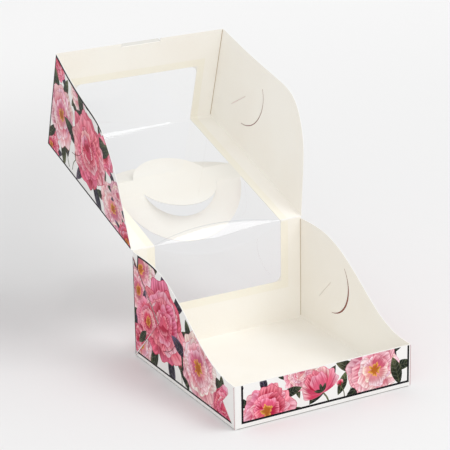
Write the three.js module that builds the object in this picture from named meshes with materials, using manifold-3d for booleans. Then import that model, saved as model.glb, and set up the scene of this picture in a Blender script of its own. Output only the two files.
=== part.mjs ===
// A one-piece folding bento cake box: a low-fronted tray, and a deep lid with a film window and
// a carrying handle, hinged along the top of the tray's back wall. Millimetres, Z up, the middle
// of the tray's underside at the origin, the low front wall towards -Y.
import * as THREE from "three";
import { mergeVertices } from "three/addons/utils/BufferGeometryUtils.js";
import Module from "manifold-3d";

const wasm = await Module();
wasm.setup();

// Sheet
const BOARD = 0.5;
const FILM = 0.05;
const FOLD_RADIUS = 1.1;

// Tray
const WIDTH = 160;
const DEPTH = 168;
const BACK_HEIGHT = 93;
const FRONT_HEIGHT = 36;
const SIDE_PEAK = 92;
const EAR_TOP = 88;
const EAR_INSET = 0.5;
const BOTTOM_PLIES = 2;

// Lid
const LID_ANGLE = 17.1;
const SIDE_PLAY = 0.3;
const FRONT_PLAY = 0.4;
const HINGE_GAP = 0.55;
const CREASE_GAP = 0.15;
const LID_FRONT_HEIGHT = 91;
const FLAP_ROOT = 0.6;
const FLAP_SPLAY = 8;
const SPLAY_FADE = 1.6;
const SPLAY_MARGIN = 2;

// Window
const WINDOW_HALF = 60;
const WINDOW_SILL = 38.5;
const WINDOW_RISE = 56;
const WINDOW_ROUND = 7;
const FILM_LAP = 7;
const FILM_BEND = 7;
const FILM_GAP = 0.02;

// Handle across the lid's window
const DISC_RADIUS = 36.3;
const LOOP_RADIUS = 60;
const LOOP_CUT = 0.6;
const DISC_CENTRE = 81;
const STRAP_WIDTH = 22;
const STRAP_SHIFT = 0.5;
const NEAR_LOOP_TILT = 33;
const FAR_LOOP_TILT = 25;

// Lock cuts near the tall corners: a straight slit on the 45 degree line and an arc slit
const ARC_RADIUS = 28.2;
const ARC_ALONG = 48;
const ARC_UP = 51;
const ARC_FROM = 38;
const ARC_TO = -84;
const ARC_WIDTH = 0.8;
const ARC_TAPER = 0.15;
const SLIT_FROM = 31;
const SLIT_TO = 49;
const SLIT_WIDTH = 0.35;

// Thumb lip in the lid's front rim
const LIP_HALF = 19;
const LIP_DEPTH = 3.6;
const LIP_TILT = 60;
const LIP_ROUND = 2;

// How far joined sheets run into each other, how far cuts run past what they cut, facet counts
const JOIN = 0.12;
const ROOT_LAP = 0.3;
const CUT = 5;
const EDGE_STEPS = 3;
const CURVE_STEPS = 48;
const ARC_STEPS = 20;
const RING_STEPS = 36;
const FILM_STEPS = 8;
const SPLAY_STEPS = 7;

const halfWidth = WIDTH / 2;
const halfDepth = DEPTH / 2;
const lidInnerHalf = halfWidth + BOARD + SIDE_PLAY;
const lidOuterHalf = lidInnerHalf + BOARD;
const hingeY = halfDepth - BOARD / 2;
const lidInnerDepth = hingeY + halfDepth + FRONT_PLAY;
const lidDepth = lidInnerDepth + BOARD;
const lidSkin = -BOARD / 2;
const lidRim = lidSkin + LID_FRONT_HEIGHT;
const strapNear = DISC_CENTRE + STRAP_SHIFT - STRAP_WIDTH / 2;
const strapFar = strapNear + STRAP_WIDTH;
const loopBore = DISC_RADIUS + LOOP_CUT;

// Free edge of the tray's side walls: share of the depth from the back wall, and share of the
// drop from the side walls' peak to the front wall
const TRAY_EDGE = [
  [0.006, 0], [0.119, 0], [0.185, 0.011], [0.256, 0.043], [0.327, 0.107], [0.393, 0.189],
  [0.452, 0.286], [0.512, 0.393], [0.574, 0.518], [0.637, 0.645], [0.696, 0.757],
  [0.759, 0.855], [0.815, 0.921], [0.869, 0.964], [0.923, 0.989],
];
// Free edge of the lid's side flaps: share of the lid's length from the hinge, and share of the
// lid's depth below its top
const FLAP_EDGE = [
  [0.006, 0.011], [0.024, 0.083], [0.062, 0.242], [0.104, 0.419], [0.148, 0.584], [0.187, 0.689],
  [0.228, 0.777], [0.279, 0.866], [0.335, 0.928], [0.385, 0.954], [0.439, 0.963], [0.534, 0.963],
  [0.646, 0.963], [0.777, 0.97], [0.86, 0.982], [0.955, 0.997],
];

function toSolid(geometry) {
  const bare = geometry.clone();
  bare.deleteAttribute("normal");
  bare.deleteAttribute("uv");
  const welded = mergeVertices(bare, 1e-5);
  return new wasm.Manifold(new wasm.Mesh({
    numProp: 3,
    vertProperties: new Float32Array(welded.attributes.position.array),
    triVerts: new Uint32Array(welded.index.array),
  }));
}

function toMesh(solid, name, colour, roughness) {
  const mesh = solid.getMesh();
  const geometry = new THREE.BufferGeometry();
  geometry.setAttribute("position", new THREE.BufferAttribute(new Float32Array(mesh.vertProperties), 3));
  geometry.setIndex(new THREE.BufferAttribute(new Uint32Array(mesh.triVerts), 1));
  geometry.computeVertexNormals();
  const out = new THREE.Mesh(geometry, new THREE.MeshStandardMaterial({ color: colour, roughness, metalness: 0 }));
  out.name = name;
  return out;
}

// Extrudes a shape from `start` to `end` along the axis: "x" maps the shape's plane to YZ,
// "y" maps it to XZ, with the depth running towards -Y, and "z" maps it to XY.
function prism(shape, axis, start, end) {
  const geometry = new THREE.ExtrudeGeometry(shape, { depth: end - start, bevelEnabled: false });
  geometry.translate(0, 0, start);
  const basis = new THREE.Matrix4();
  if (axis === "x") {
    basis.makeBasis(new THREE.Vector3(0, 1, 0), new THREE.Vector3(0, 0, 1), new THREE.Vector3(1, 0, 0));
  }
  if (axis === "y") {
    basis.makeBasis(new THREE.Vector3(1, 0, 0), new THREE.Vector3(0, 0, 1), new THREE.Vector3(0, -1, 0));
  }
  geometry.applyMatrix4(basis);
  return toSolid(geometry);
}

function block(x0, x1, y0, y1, z0, z1) {
  const geometry = new THREE.BoxGeometry(x1 - x0, y1 - y0, z1 - z0);
  geometry.translate((x0 + x1) / 2, (y0 + y1) / 2, (z0 + z1) / 2);
  return toSolid(geometry);
}

// A rectangle with its own radius at each corner: lower left, lower right, upper right, upper left
function roundedRect(x0, x1, y0, y1, radii) {
  const corners = [
    [x0, y0, 1, 1, Math.PI], [x1, y0, -1, 1, 1.5 * Math.PI],
    [x1, y1, -1, -1, 0], [x0, y1, 1, -1, 0.5 * Math.PI],
  ];
  const points = [];
  corners.forEach(([x, y, sx, sy, from], i) => {
    const radius = radii[i];
    if (radius <= 0) {
      points.push(new THREE.Vector2(x, y));
      return;
    }
    const steps = radius > 2 * FOLD_RADIUS ? 2 * EDGE_STEPS : EDGE_STEPS;
    for (let k = 0; k <= steps; k += 1) {
      const angle = from + (k / steps) * 0.5 * Math.PI;
      points.push(new THREE.Vector2(
        x + sx * radius + radius * Math.cos(angle), y + sy * radius + radius * Math.sin(angle),
      ));
    }
  });
  return new THREE.Shape(points);
}

// A closed-bottomed box with rounded folds, open above `top`
function roundedBody(half, front, back, bottom, top, radius, backRadius) {
  const across = prism(roundedRect(front, back, bottom, top, [radius, backRadius, 0, 0]), "x", -half, half);
  const along = prism(roundedRect(-half, half, bottom, top, [radius, radius, 0, 0]), "y", -back, -front);
  const plan = prism(roundedRect(-half, half, front, back, [radius, radius, backRadius, backRadius]), "z", bottom, top);
  return across.intersect(along).intersect(plan);
}

// Everything above a free edge, as a prism right across the box. The edge runs from `start`
// through the curve's points to `end`, and `ceiling` is the prism's top.
function aboveEdge(curvePoints, start, end, ceiling, half) {
  const curve = new THREE.SplineCurve(curvePoints.map(([y, z]) => new THREE.Vector2(y, z)));
  const points = [new THREE.Vector2(...start), ...curve.getPoints(CURVE_STEPS), new THREE.Vector2(...end),
    new THREE.Vector2(end[0], ceiling), new THREE.Vector2(start[0], ceiling)];
  return prism(new THREE.Shape(points), "x", -half, half);
}

// A flat sheet on the outside of both side walls
function pairOfPlates(points, inner, outer) {
  const shape = new THREE.Shape(points);
  return prism(shape, "x", inner, outer).add(prism(shape, "x", -outer, -inner));
}

// Triangular ear with 45 degree edges that wraps a corner. `corner` is the corner's y, `sense` the
// direction away from it.
function earOutline(corner, sense, foot, top) {
  const apex = (foot + top) / 2;
  return [
    new THREE.Vector2(corner + sense * EAR_INSET, foot),
    new THREE.Vector2(corner + sense * EAR_INSET, top),
    new THREE.Vector2(corner + sense * (EAR_INSET + apex - foot), apex),
  ];
}

// The two lock cuts through both side walls. `corner` is the corner's y, `sense` the direction away.
function lockCuts(corner, sense, floor, half) {
  const rims = [[], []];
  for (let k = 0; k <= ARC_STEPS; k += 1) {
    const share = k / ARC_STEPS;
    const angle = THREE.MathUtils.degToRad(ARC_FROM + share * (ARC_TO - ARC_FROM));
    const spread = 0.5 * ARC_WIDTH * (ARC_TAPER + (1 - ARC_TAPER) * Math.sin(Math.PI * share));
    [ARC_RADIUS + spread, ARC_RADIUS - spread].forEach((radius, i) => {
      rims[i].push(new THREE.Vector2(
        corner + sense * (ARC_ALONG + radius * Math.cos(angle)), floor + ARC_UP + radius * Math.sin(angle),
      ));
    });
  }
  const arc = new THREE.Shape([...rims[0], ...rims[1].reverse()]);
  const nudge = SLIT_WIDTH / (2 * Math.SQRT2);
  const slit = new THREE.Shape([
    [SLIT_FROM - nudge, SLIT_FROM + nudge], [SLIT_FROM + nudge, SLIT_FROM - nudge],
    [SLIT_TO + nudge, SLIT_TO - nudge], [SLIT_TO - nudge, SLIT_TO + nudge],
  ].map(([along, up]) => new THREE.Vector2(corner + sense * along, floor + up)));
  return prism(arc, "x", -half, half).add(prism(slit, "x", -half, half));
}

function makeTray() {
  const ceiling = BACK_HEIGHT + 2 * CUT;
  const outer = roundedBody(halfWidth, -halfDepth, halfDepth, 0, BACK_HEIGHT + CUT, FOLD_RADIUS, FOLD_RADIUS);
  const inner = roundedBody(halfWidth - BOARD, BOARD - halfDepth, halfDepth - BOARD, BOTTOM_PLIES * BOARD,
    ceiling, FOLD_RADIUS - BOARD, FOLD_RADIUS - BOARD);
  const drop = SIDE_PEAK - FRONT_HEIGHT;
  const edge = TRAY_EDGE.map(([along, down]) => [halfDepth - along * DEPTH, SIDE_PEAK - down * drop]);
  const aboveWalls = aboveEdge(edge, [halfDepth - BOARD - JOIN, SIDE_PEAK], [-halfDepth - CUT, FRONT_HEIGHT],
    ceiling, halfWidth + CUT);
  const aboveBack = block(-halfWidth - CUT, halfWidth + CUT, -halfDepth - CUT, halfDepth + CUT,
    BACK_HEIGHT - CREASE_GAP, ceiling);
  const opening = prism(roundedRect(-WINDOW_HALF, WINDOW_HALF, WINDOW_SILL, ceiling,
    [WINDOW_ROUND, WINDOW_ROUND, 0, 0]), "y", -halfDepth - CUT, CUT - halfDepth);
  const backEars = pairOfPlates(earOutline(halfDepth, -1, EAR_INSET, EAR_TOP), halfWidth - JOIN, halfWidth + BOARD);
  const frontEars = pairOfPlates(earOutline(-halfDepth, 1, EAR_INSET, FRONT_HEIGHT - EAR_INSET),
    halfWidth - JOIN, halfWidth + BOARD);
  return outer.subtract(inner).subtract(aboveBack).subtract(aboveWalls).subtract(opening)
    .add(backEars).add(frontEars)
    .subtract(lockCuts(halfDepth, -1, 0, halfWidth + CUT));
}

// Half of a ring beyond a straight root, as a plate folded outward about the root
function handleLoop(root, sense, tilt) {
  const rise = Math.abs(root - DISC_CENTRE);
  const outerFrom = Math.asin(rise / LOOP_RADIUS);
  const innerFrom = Math.asin(rise / loopBore);
  const points = [];
  for (let k = 0; k <= RING_STEPS; k += 1) {
    const angle = outerFrom + (k / RING_STEPS) * (Math.PI - 2 * outerFrom);
    points.push(new THREE.Vector2(LOOP_RADIUS * Math.cos(angle), sense * (LOOP_RADIUS * Math.sin(angle) - rise)));
  }
  for (let k = 0; k <= RING_STEPS; k += 1) {
    const angle = Math.PI - innerFrom - (k / RING_STEPS) * (Math.PI - 2 * innerFrom);
    points.push(new THREE.Vector2(loopBore * Math.cos(angle), sense * (loopBore * Math.sin(angle) - rise)));
  }
  const geometry = new THREE.ExtrudeGeometry(new THREE.Shape(points), { depth: BOARD, bevelEnabled: false });
  geometry.translate(0, -sense * ROOT_LAP, lidSkin);
  geometry.rotateX(-sense * THREE.MathUtils.degToRad(tilt));
  geometry.translate(0, root, 0);
  return toSolid(geometry);
}

// The disc on its strap, with a loop folded outward on each side of the strap
function makeHandle() {
  const strap = block(-WINDOW_HALF - JOIN, WINDOW_HALF + JOIN, strapNear, strapFar, lidSkin, lidSkin + BOARD);
  const disc = new THREE.CylinderGeometry(DISC_RADIUS, DISC_RADIUS, BOARD, 2 * RING_STEPS);
  disc.rotateX(Math.PI / 2);
  disc.translate(0, DISC_CENTRE, 0);
  const loops = handleLoop(strapNear, -1, NEAR_LOOP_TILT).add(handleLoop(strapFar, 1, FAR_LOOP_TILT))
    .intersect(block(-LOOP_RADIUS, LOOP_RADIUS, 0, lidDepth, -LOOP_RADIUS, lidSkin + BOARD));
  return strap.add(toSolid(disc)).add(loops);
}

// Thumb lip, cut from the front rim and bent outward about its lower edge
function makeLip() {
  const lip = new THREE.ExtrudeGeometry(
    roundedRect(-LIP_HALF + JOIN, LIP_HALF - JOIN, -JOIN, LIP_DEPTH, [0, 0, LIP_ROUND, LIP_ROUND]),
    { depth: BOARD, bevelEnabled: false },
  );
  lip.rotateX(Math.PI / 2 - THREE.MathUtils.degToRad(LIP_TILT));
  lip.translate(0, lidDepth - BOARD, lidRim - LIP_DEPTH - 2 * JOIN);
  return toSolid(lip);
}

// A closed curved plate, from the point that `pointAt` gives on its face 0 or 1 at each row and column
function curvedPlate(pointAt, rows, columns, flip) {
  const points = [];
  const triangles = [];
  const index = (face, i, j) => (face * rows + i) * columns + j;
  const quad = (a, b, c, d) => triangles.push(...(flip ? [a, c, b, a, d, c] : [a, b, c, a, c, d]));
  for (let at = 0; at < 2 * rows * columns; at += 1) {
    points.push(...pointAt(Math.floor(at / (rows * columns)), Math.floor(at / columns) % rows, at % columns));
  }
  for (let i = 0; i < rows - 1; i += 1) {
    for (let j = 0; j < columns - 1; j += 1) {
      quad(index(0, i, j), index(0, i, j + 1), index(0, i + 1, j + 1), index(0, i + 1, j));
      quad(index(1, i, j), index(1, i + 1, j), index(1, i + 1, j + 1), index(1, i, j + 1));
    }
  }
  for (let i = 0; i < rows - 1; i += 1) {
    const last = columns - 1;
    quad(index(0, i, 0), index(0, i + 1, 0), index(1, i + 1, 0), index(1, i, 0));
    quad(index(0, i, last), index(1, i, last), index(1, i + 1, last), index(0, i + 1, last));
  }
  for (let j = 0; j < columns - 1; j += 1) {
    const last = rows - 1;
    quad(index(0, 0, j), index(1, 0, j), index(1, 0, j + 1), index(0, 0, j + 1));
    quad(index(0, last, j), index(0, last, j + 1), index(1, last, j + 1), index(1, last, j));
  }
  return new wasm.Manifold(new wasm.Mesh({
    numProp: 3, vertProperties: new Float32Array(points), triVerts: new Uint32Array(triangles),
  }));
}

// A side flap of the lid below its folded margin. It stands out from square: most near the hinge,
// not at all where it meets the front corner.
function splayedFlap(edge, side) {
  const corner = lidDepth - SPLAY_MARGIN;
  const foot = lidSkin + SPLAY_MARGIN - JOIN;
  const curve = new THREE.SplineCurve(edge.map(([along, deep]) => new THREE.Vector2(along, deep)));
  const rim = curve.getPoints(CURVE_STEPS).filter((point) => point.y > foot + JOIN && point.x < corner);
  rim.push(new THREE.Vector2(corner + JOIN, lidRim));
  const pointAt = (face, i, j) => {
    const along = rim[i].x;
    const deep = foot + (j / SPLAY_STEPS) * (rim[i].y - foot);
    const lean = FLAP_SPLAY * (1 - Math.min(1, along / corner) ** SPLAY_FADE);
    const out = Math.tan(THREE.MathUtils.degToRad(lean)) * Math.max(0, deep - foot - JOIN);
    return [side * (out + (face === 0 ? lidInnerHalf : lidOuterHalf)), along, deep];
  };
  return curvedPlate(pointAt, rim.length, SPLAY_STEPS + 1, side < 0);
}

function makeLid() {
  const ceiling = lidRim + 2 * CUT;
  const outer = roundedBody(lidOuterHalf, -lidDepth, CUT, lidSkin, lidRim + CUT, FOLD_RADIUS, 0);
  const inner = roundedBody(lidInnerHalf, -lidInnerDepth, 2 * CUT, lidSkin + BOARD, ceiling, FOLD_RADIUS - BOARD, 0);
  const turn = new THREE.Matrix4().makeRotationZ(Math.PI).elements;
  const body = outer.subtract(inner).transform(Array.from(turn));
  const behindHinge = block(-lidOuterHalf - CUT, lidOuterHalf + CUT, -2 * CUT, HINGE_GAP, lidSkin - CUT, ceiling);
  const edge = FLAP_EDGE.map(([along, down]) => [along * lidDepth, down * lidRim]);
  const aboveFlaps = aboveEdge(edge, [0, FLAP_ROOT], [lidDepth + CUT, lidRim], ceiling, lidOuterHalf + CUT);
  const topOpening = block(-WINDOW_HALF, WINDOW_HALF, 0, lidDepth + CUT, lidSkin - CUT, lidSkin + BOARD + JOIN);
  const frontOpening = prism(roundedRect(-WINDOW_HALF, WINDOW_HALF, lidSkin - CUT, lidSkin + WINDOW_RISE,
    [0, 0, WINDOW_ROUND, WINDOW_ROUND]), "y", -lidDepth - CUT, CUT - lidDepth);
  const lipNotch = block(-LIP_HALF, LIP_HALF, lidDepth - CUT, lidDepth + CUT, lidRim - LIP_DEPTH, lidRim + CUT);
  const flatFlaps = [-1, 1].map((side) => {
    const [near, far] = [side * halfWidth, side * (lidOuterHalf + CUT)].sort((p, q) => p - q);
    return block(near, far, -CUT, lidDepth - SPLAY_MARGIN, lidSkin + SPLAY_MARGIN, ceiling);
  });
  const cuts = lockCuts(lidDepth, -1, lidSkin, lidOuterHalf + lidDepth);
  return body.subtract(behindHinge).subtract(aboveFlaps).subtract(topOpening).subtract(frontOpening)
    .subtract(lipNotch).subtract(flatFlaps[0]).subtract(flatFlaps[1])
    .add(splayedFlap(edge, -1)).add(splayedFlap(edge, 1)).subtract(cuts)
    .add(makeHandle()).add(makeLip());
}

// Film over the back wall's window, glued to its inner face
function makeTrayFilm() {
  const face = halfDepth - BOARD - FILM_GAP;
  return block(-WINDOW_HALF - FILM_LAP, WINDOW_HALF + FILM_LAP, face - FILM, face,
    WINDOW_SILL - FILM_LAP, BACK_HEIGHT - CREASE_GAP);
}

// Film over the lid's window: flat across the top, round the front fold and up the front wall
function makeLidFilm() {
  const low = lidSkin + BOARD + FILM_GAP;
  const far = lidInnerDepth - FILM_GAP;
  const top = lidSkin + WINDOW_RISE + FILM_LAP;
  const outer = [];
  const inner = [];
  for (let k = 0; k <= FILM_STEPS; k += 1) {
    const angle = (k / FILM_STEPS) * Math.PI / 2;
    const dy = Math.sin(angle);
    const dz = Math.cos(angle);
    outer.push(new THREE.Vector2(far - FILM_BEND + FILM_BEND * dy, low + FILM_BEND - FILM_BEND * dz));
    inner.push(new THREE.Vector2(
      far - FILM_BEND + (FILM_BEND - FILM) * dy, low + FILM_BEND - (FILM_BEND - FILM) * dz,
    ));
  }
  const points = [new THREE.Vector2(HINGE_GAP, low), ...outer, new THREE.Vector2(far, top),
    new THREE.Vector2(far - FILM, top), ...inner.reverse(), new THREE.Vector2(HINGE_GAP, low + FILM)];
  return prism(new THREE.Shape(points), "x", -WINDOW_HALF - FILM_LAP, WINDOW_HALF + FILM_LAP);
}

const part = new THREE.Group();
part.name = "bento_cake_box";
part.add(toMesh(makeTray(), "carton_base", 0xefe9dc, 0.6));
part.add(toMesh(makeTrayFilm(), "window_film_base", 0xdfe8ec, 0.1));
const lid = new THREE.Group();
lid.name = "lid";
lid.add(toMesh(makeLid(), "carton_lid", 0xefe9dc, 0.6));
lid.add(toMesh(makeLidFilm(), "window_film_lid", 0xdfe8ec, 0.1));
lid.rotation.x = THREE.MathUtils.degToRad(LID_ANGLE);
lid.position.set(0, hingeY, BACK_HEIGHT);
part.add(lid);

export default part;
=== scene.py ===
import math
import random

import bpy
from mathutils import Matrix, Vector
from mathutils.geometry import delaunay_2d_cdt


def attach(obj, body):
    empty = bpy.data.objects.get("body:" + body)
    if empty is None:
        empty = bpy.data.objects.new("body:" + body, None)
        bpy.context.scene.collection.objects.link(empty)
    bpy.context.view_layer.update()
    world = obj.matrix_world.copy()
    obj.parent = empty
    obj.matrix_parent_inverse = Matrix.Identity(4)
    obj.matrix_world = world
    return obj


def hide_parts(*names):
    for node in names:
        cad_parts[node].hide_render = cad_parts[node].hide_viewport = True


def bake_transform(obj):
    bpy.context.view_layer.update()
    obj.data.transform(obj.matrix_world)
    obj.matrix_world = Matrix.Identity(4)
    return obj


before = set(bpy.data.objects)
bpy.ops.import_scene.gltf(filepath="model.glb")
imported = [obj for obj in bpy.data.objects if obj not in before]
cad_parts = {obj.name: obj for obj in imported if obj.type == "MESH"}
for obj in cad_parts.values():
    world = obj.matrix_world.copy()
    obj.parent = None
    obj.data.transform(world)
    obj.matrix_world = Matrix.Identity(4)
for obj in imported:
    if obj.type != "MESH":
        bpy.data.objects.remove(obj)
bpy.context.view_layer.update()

MM = 0.001

# Sizes of the box, in millimetres. The lid's run from the hinge along its top, and from there into its depth.
HALF_WIDTH = 80
HALF_DEPTH = 84
DEPTH = 2 * HALF_DEPTH
BACK_HEIGHT = 93
FRONT_HEIGHT = 36
SIDE_PEAK = 92
BOARD = 0.5
FOLD_RADIUS = 1.1
EAR_TOP = 88
EAR_APEX = 44
WINDOW_HALF = 60
WINDOW_SILL = 38.5
WINDOW_RISE = 56
FILM_LAP = 7
HINGE = (HALF_DEPTH - BOARD / 2, BACK_HEIGHT)
LID_ANGLE = math.radians(17.1)
LID_DEPTH = 168.65
LID_INNER_DEPTH = LID_DEPTH - BOARD
LID_HALF = 81.3
LID_SKIN = -BOARD / 2
LID_RIM = 90.75
DISC_RADIUS = 36.3
DISC_CENTRE = 81
LIP_HALF = 19
LIP_DEPTH = 3.6

# The lid's flaps lean outward by this many degrees at the hinge, and less towards the front
FLAP_SPLAY = 8
SPLAY_FADE = 1.6
SPLAY_MARGIN = 2

# The hinge line in metres, and the lid's directions at rest: along its top and into its depth
HINGE_PLACE = (0.0, HINGE[0] * MM, HINGE[1] * MM)
ALONG_LID = (0.0, math.cos(LID_ANGLE), math.sin(LID_ANGLE))
INTO_LID = (0.0, -math.sin(LID_ANGLE), math.cos(LID_ANGLE))

# Free edges, as shares of the wall's length from the hinge and of its drop or depth
TRAY_EDGE = [
    (0.006, 0), (0.119, 0), (0.185, 0.011), (0.256, 0.043), (0.327, 0.107), (0.393, 0.189),
    (0.452, 0.286), (0.512, 0.393), (0.574, 0.518), (0.637, 0.645), (0.696, 0.757),
    (0.759, 0.855), (0.815, 0.921), (0.869, 0.964), (0.923, 0.989),
]
FLAP_EDGE = [
    (0.006, 0.011), (0.024, 0.083), (0.062, 0.242), (0.104, 0.419), (0.148, 0.584), (0.187, 0.689),
    (0.228, 0.777), (0.279, 0.866), (0.335, 0.928), (0.385, 0.954), (0.439, 0.963), (0.534, 0.963),
    (0.646, 0.963), (0.777, 0.97), (0.86, 0.982), (0.955, 0.997),
]

# Camera, with its sensor and its offset from the point that it aims at in millimetres
IMAGE = 450
SENSOR = 36
FOCAL_PX = 1957.5
AZIMUTH = math.radians(-28.72)
ELEVATION = math.radians(19.54)
ROLL = math.radians(-0.97)
AIM = Vector((0, 0, 90)) * MM
AIM_OFFSET = Vector((35.4, -33.6, -1563.6)) * MM


def make_camera():
    """The camera at the photograph's angle."""
    back = Vector((
        math.sin(AZIMUTH) * math.cos(ELEVATION),
        -math.cos(AZIMUTH) * math.cos(ELEVATION),
        math.sin(ELEVATION),
    ))
    level = Vector((0, 0, 1)).cross(back).normalized()
    upright = back.cross(level)
    right = math.cos(ROLL) * level + math.sin(ROLL) * upright
    up = -math.sin(ROLL) * level + math.cos(ROLL) * upright
    turn = Matrix((right, up, back)).transposed()
    data = bpy.data.cameras.new("camera")
    data.sensor_width = SENSOR
    data.lens = FOCAL_PX / IMAGE * SENSOR
    camera = bpy.data.objects.new("camera", data)
    camera.matrix_world = Matrix.Translation(AIM - turn @ AIM_OFFSET) @ turn.to_4x4()
    bpy.context.scene.collection.objects.link(camera)
    bpy.context.scene.camera = camera


def new_material(name):
    """A material with nodes, and its Principled shader."""
    material = bpy.data.materials.new(name)
    material.use_nodes = True
    return material, material.node_tree, material.node_tree.nodes["Principled BSDF"]


class Maker:
    """Short calls for a material's nodes."""

    def __init__(self, tree):
        self.tree = tree

    def node(self, kind, **values):
        made = self.tree.nodes.new(kind)
        for key, value in values.items():
            setattr(made, key, value)
        return made

    def link(self, source, target):
        """Sets a socket to a number, a colour or a vector, or links an output to it."""
        if isinstance(source, (int, float, tuple)):
            target.default_value = source
        else:
            self.tree.links.new(source, target)

    def math(self, operation, first, second=0.0):
        made = self.node("ShaderNodeMath", operation=operation)
        self.link(first, made.inputs[0])
        self.link(second, made.inputs[1])
        return made.outputs[0]

    def plus(self, first, second):
        return self.math("ADD", first, second)

    def times(self, first, second):
        return self.math("MULTIPLY", first, second)

    def absolute(self, value):
        return self.math("ABSOLUTE", value)

    def vector(self, operation, first, second, output="Vector"):
        made = self.node("ShaderNodeVectorMath", operation=operation)
        self.link(first, made.inputs[0])
        self.link(second, made.inputs[1])
        return made.outputs[output]

    def dot(self, first, second):
        return self.vector("DOT_PRODUCT", first, second, "Value")

    def parts(self, vector):
        """The outputs X, Y and Z of a vector."""
        made = self.node("ShaderNodeSeparateXYZ")
        self.link(vector, made.inputs[0])
        return made.outputs

    def mix(self, share, first, second, blend_type="MIX"):
        made = self.node("ShaderNodeMix", data_type="RGBA", blend_type=blend_type)
        self.link(share, made.inputs["Factor"])
        self.link(first, made.inputs["A"])
        self.link(second, made.inputs["B"])
        return made.outputs["Result"]

    def noise(self, place, scale, detail=3.0, roughness=0.5):
        made = self.node("ShaderNodeTexNoise")
        self.link(place, made.inputs["Vector"])
        made.inputs["Scale"].default_value = scale
        made.inputs["Detail"].default_value = detail
        made.inputs["Roughness"].default_value = roughness
        return made.outputs["Fac"]

    def ramp(self, value, low, high, first, second):
        """Runs smoothly from `first` at `low` to `second` at `high`."""
        made = self.node("ShaderNodeMapRange", interpolation_type="SMOOTHSTEP")
        for source, name in ((value, "Value"), (low, "From Min"), (high, "From Max"), (first, "To Min"),
                             (second, "To Max")):
            self.link(source, made.inputs[name])
        return made.outputs["Result"]

    def bump(self, height, strength, distance):
        made = self.node("ShaderNodeBump")
        made.inputs["Strength"].default_value = strength
        made.inputs["Distance"].default_value = distance
        self.link(height, made.inputs["Height"])
        return made.outputs["Normal"]


CREAM = (0.935, 0.914, 0.860, 1)
CREAM_DEEP = (0.915, 0.880, 0.815, 1)
COATED = (0.88, 0.875, 0.855, 1)
COATED_DEEP = (0.86, 0.85, 0.83, 1)
# Painted shade on the lid's thumb lip
TAB_SHADE = (0.68, 0.67, 0.63, 1)
# Painted shade on the ears' cut edges, a dark shadow line where they stand off the side walls
EAR_EDGE_SHADE = (0.42, 0.20, 0.22, 1)
CREAM_ROUGHNESS = 0.62
COATED_ROUGHNESS = 0.42

# How fine the board's cloudiness and its fibres are
CLOUD = 19
FIBRE = 950


def lip_shade_mask(make, place, side):
    """Is 1 on the outside of the thumb lip in the lid's front rim, which gets painted shade, and 0 elsewhere.
    """
    inward = make.vector("SUBTRACT", place, HINGE_PLACE)
    along = make.dot(inward, ALONG_LID)
    deep = make.dot(inward, INTO_LID)
    root = LID_RIM - LIP_DEPTH - 1
    past = make.ramp(along, (LID_INNER_DEPTH + 0.02) * MM, (LID_INNER_DEPTH + 0.15) * MM, 0.0, 1.0)
    low = make.ramp(deep, root * MM, (root + 0.5) * MM, 0.0, 1.0)
    near = make.ramp(side, LIP_HALF * MM, (LIP_HALF + 0.5) * MM, 1.0, 0.0)
    return make.times(make.times(past, low), near)


def ear_edge_shade_mask(make, normal, side):
    """Is 1 on the cut edges of the ears, which are glued outside the side walls and get painted shade there,
    and 0 elsewhere.
    """
    facing = make.absolute(make.dot(normal, (1.0, 0.0, 0.0)))
    outer_ply = make.ramp(side, (HALF_WIDTH + 0.02) * MM, (HALF_WIDTH + 0.06) * MM, 0.0, 1.0)
    return make.times(outer_ply, make.ramp(facing, 0.3, 0.6, 1.0, 0.0))


def board_material(name, middle, has_ears):
    """Folding board: plain cream on the side that faces `middle`, coated white on the other side, with
    painted shade on the ears' cut edges or on the lid's thumb lip.
    """
    material, tree, shader = new_material(name)
    make = Maker(tree)
    coordinates = make.node("ShaderNodeTexCoord").outputs
    place, normal = coordinates["Object"], coordinates["Normal"]
    outward = make.vector("SUBTRACT", place, tuple(value * MM for value in middle))
    outside = make.ramp(make.dot(outward, normal), -0.0005, 0.0005, 0.0, 1.0)
    fibre = make.noise(place, FIBRE, 4, 0.65)
    mottle = make.plus(make.times(make.noise(place, CLOUD, 2), 0.6), make.times(fibre, 0.4))
    share = make.ramp(mottle, 0.35, 0.65, 0.0, 1.0)
    inner = make.mix(share, CREAM_DEEP, CREAM)
    outer = make.mix(share, COATED_DEEP, COATED)
    board = make.mix(outside, inner, outer)
    side = make.absolute(make.parts(place)["X"])
    if has_ears:
        # Painted shade on the ears' cut edges
        board = make.mix(ear_edge_shade_mask(make, normal, side), board, EAR_EDGE_SHADE)
    else:
        # Painted shade on the thumb lip
        board = make.mix(lip_shade_mask(make, place, side), board, TAB_SHADE)
    make.link(board, shader.inputs["Base Color"])
    make.link(make.ramp(outside, 0.0, 1.0, CREAM_ROUGHNESS, COATED_ROUGHNESS), shader.inputs["Roughness"])
    shader.inputs["Specular IOR Level"].default_value = 0.3
    make.link(make.bump(fibre, 0.12, 0.0002), shader.inputs["Normal"])
    return material


def vein_mask(make, base, tip, across, along):
    """Side veins on leaves, the only marks with a dark base and a lighter tip."""
    vein = make.math("FRACT", make.math("SUBTRACT", make.times(along, 7.0), make.absolute(across)))
    vein = make.ramp(make.absolute(make.math("SUBTRACT", vein, 0.5)), 0.36, 0.5, 0.0, 0.45)
    dark_base = make.ramp(make.dot(base, (1.0, 0.0, 0.0)), 0.03, 0.05, 1.0, 0.0)
    light_tip = make.ramp(make.dot(tip, (1.0, 0.0, 0.0)), 0.04, 0.07, 0.0, 1.0)
    return make.times(vein, make.times(dark_base, light_tip))


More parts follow.
